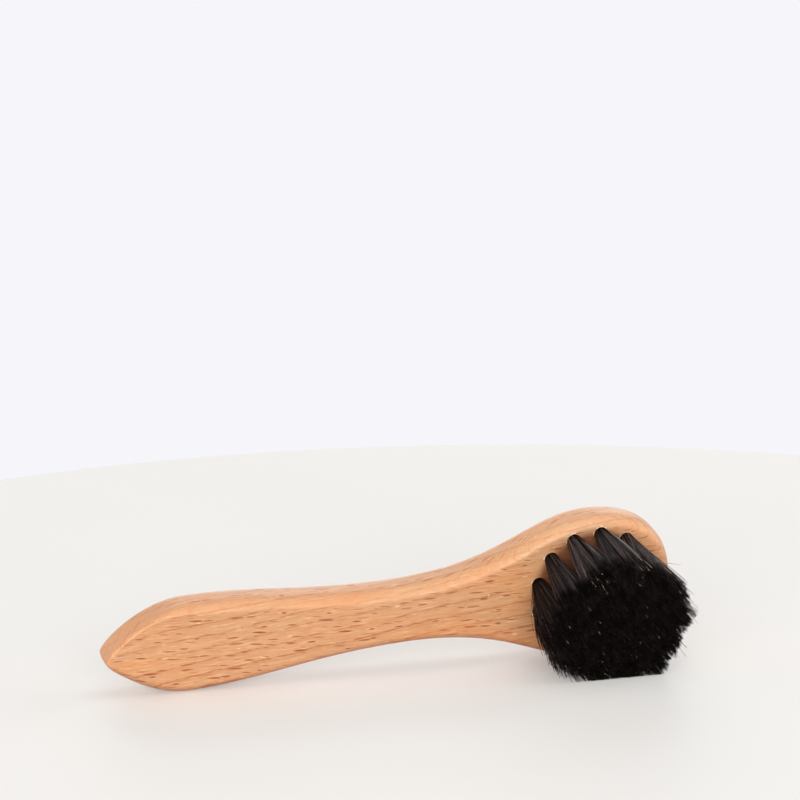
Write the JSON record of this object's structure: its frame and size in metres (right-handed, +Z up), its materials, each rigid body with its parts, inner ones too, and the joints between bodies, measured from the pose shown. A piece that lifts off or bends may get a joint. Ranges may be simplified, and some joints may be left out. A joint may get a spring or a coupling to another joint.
{
  "type": "shoe polish applicator brush",
  "caption": "Wooden applicator brush lying on its edge: flat handle, round head, black hair tufts held in blind holes by wire staples.",
  "frame": {"origin": "the middle of the whole brush on the table it lies on", "axes": "+Z up from the table; +X along the handle from its tip to the head, and slightly up; the hair points to -Y"},
  "size_m": [0.1696, 0.0412, 0.0446],
  "materials": {
    "varnished_beech": "satin varnish over sanded beech",
    "black_hair": "dyed horsehair, trimmed flat",
    "staple_wire": "drawn wire"
  },
  "bodies": {
    "root": {"handle": "varnished_beech", "staple_centre_01": "staple_wire", "staple_middle_01": "staple_wire", "staple_middle_02": "staple_wire", "staple_middle_03": "staple_wire", "staple_middle_04": "staple_wire", "staple_middle_05": "staple_wire", "staple_middle_06": "staple_wire", "staple_middle_07": "staple_wire", "staple_outer_01": "staple_wire", "staple_outer_02": "staple_wire", "staple_outer_03": "staple_wire", "staple_outer_04": "staple_wire", "staple_outer_05": "staple_wire", "staple_outer_06": "staple_wire", "staple_outer_07": "staple_wire", "staple_outer_08": "staple_wire", "staple_outer_09": "staple_wire", "staple_outer_10": "staple_wire", "staple_outer_11": "staple_wire", "staple_outer_12": "staple_wire", "staple_outer_13": "staple_wire", "tuft_centre_01": "black_hair", "tuft_middle_01": "black_hair", "tuft_middle_02": "black_hair", "tuft_middle_03": "black_hair", "tuft_middle_04": "black_hair", "tuft_middle_05": "black_hair", "tuft_middle_06": "black_hair", "tuft_middle_07": "black_hair", "tuft_outer_01": "black_hair", "tuft_outer_02": "black_hair", "tuft_outer_03": "black_hair", "tuft_outer_04": "black_hair", "tuft_outer_05": "black_hair", "tuft_outer_06": "black_hair", "tuft_outer_07": "black_hair", "tuft_outer_08": "black_hair", "tuft_outer_09": "black_hair", "tuft_outer_10": "black_hair", "tuft_outer_11": "black_hair", "tuft_outer_12": "black_hair", "tuft_outer_13": "black_hair"}
  },
  "joints": []
}
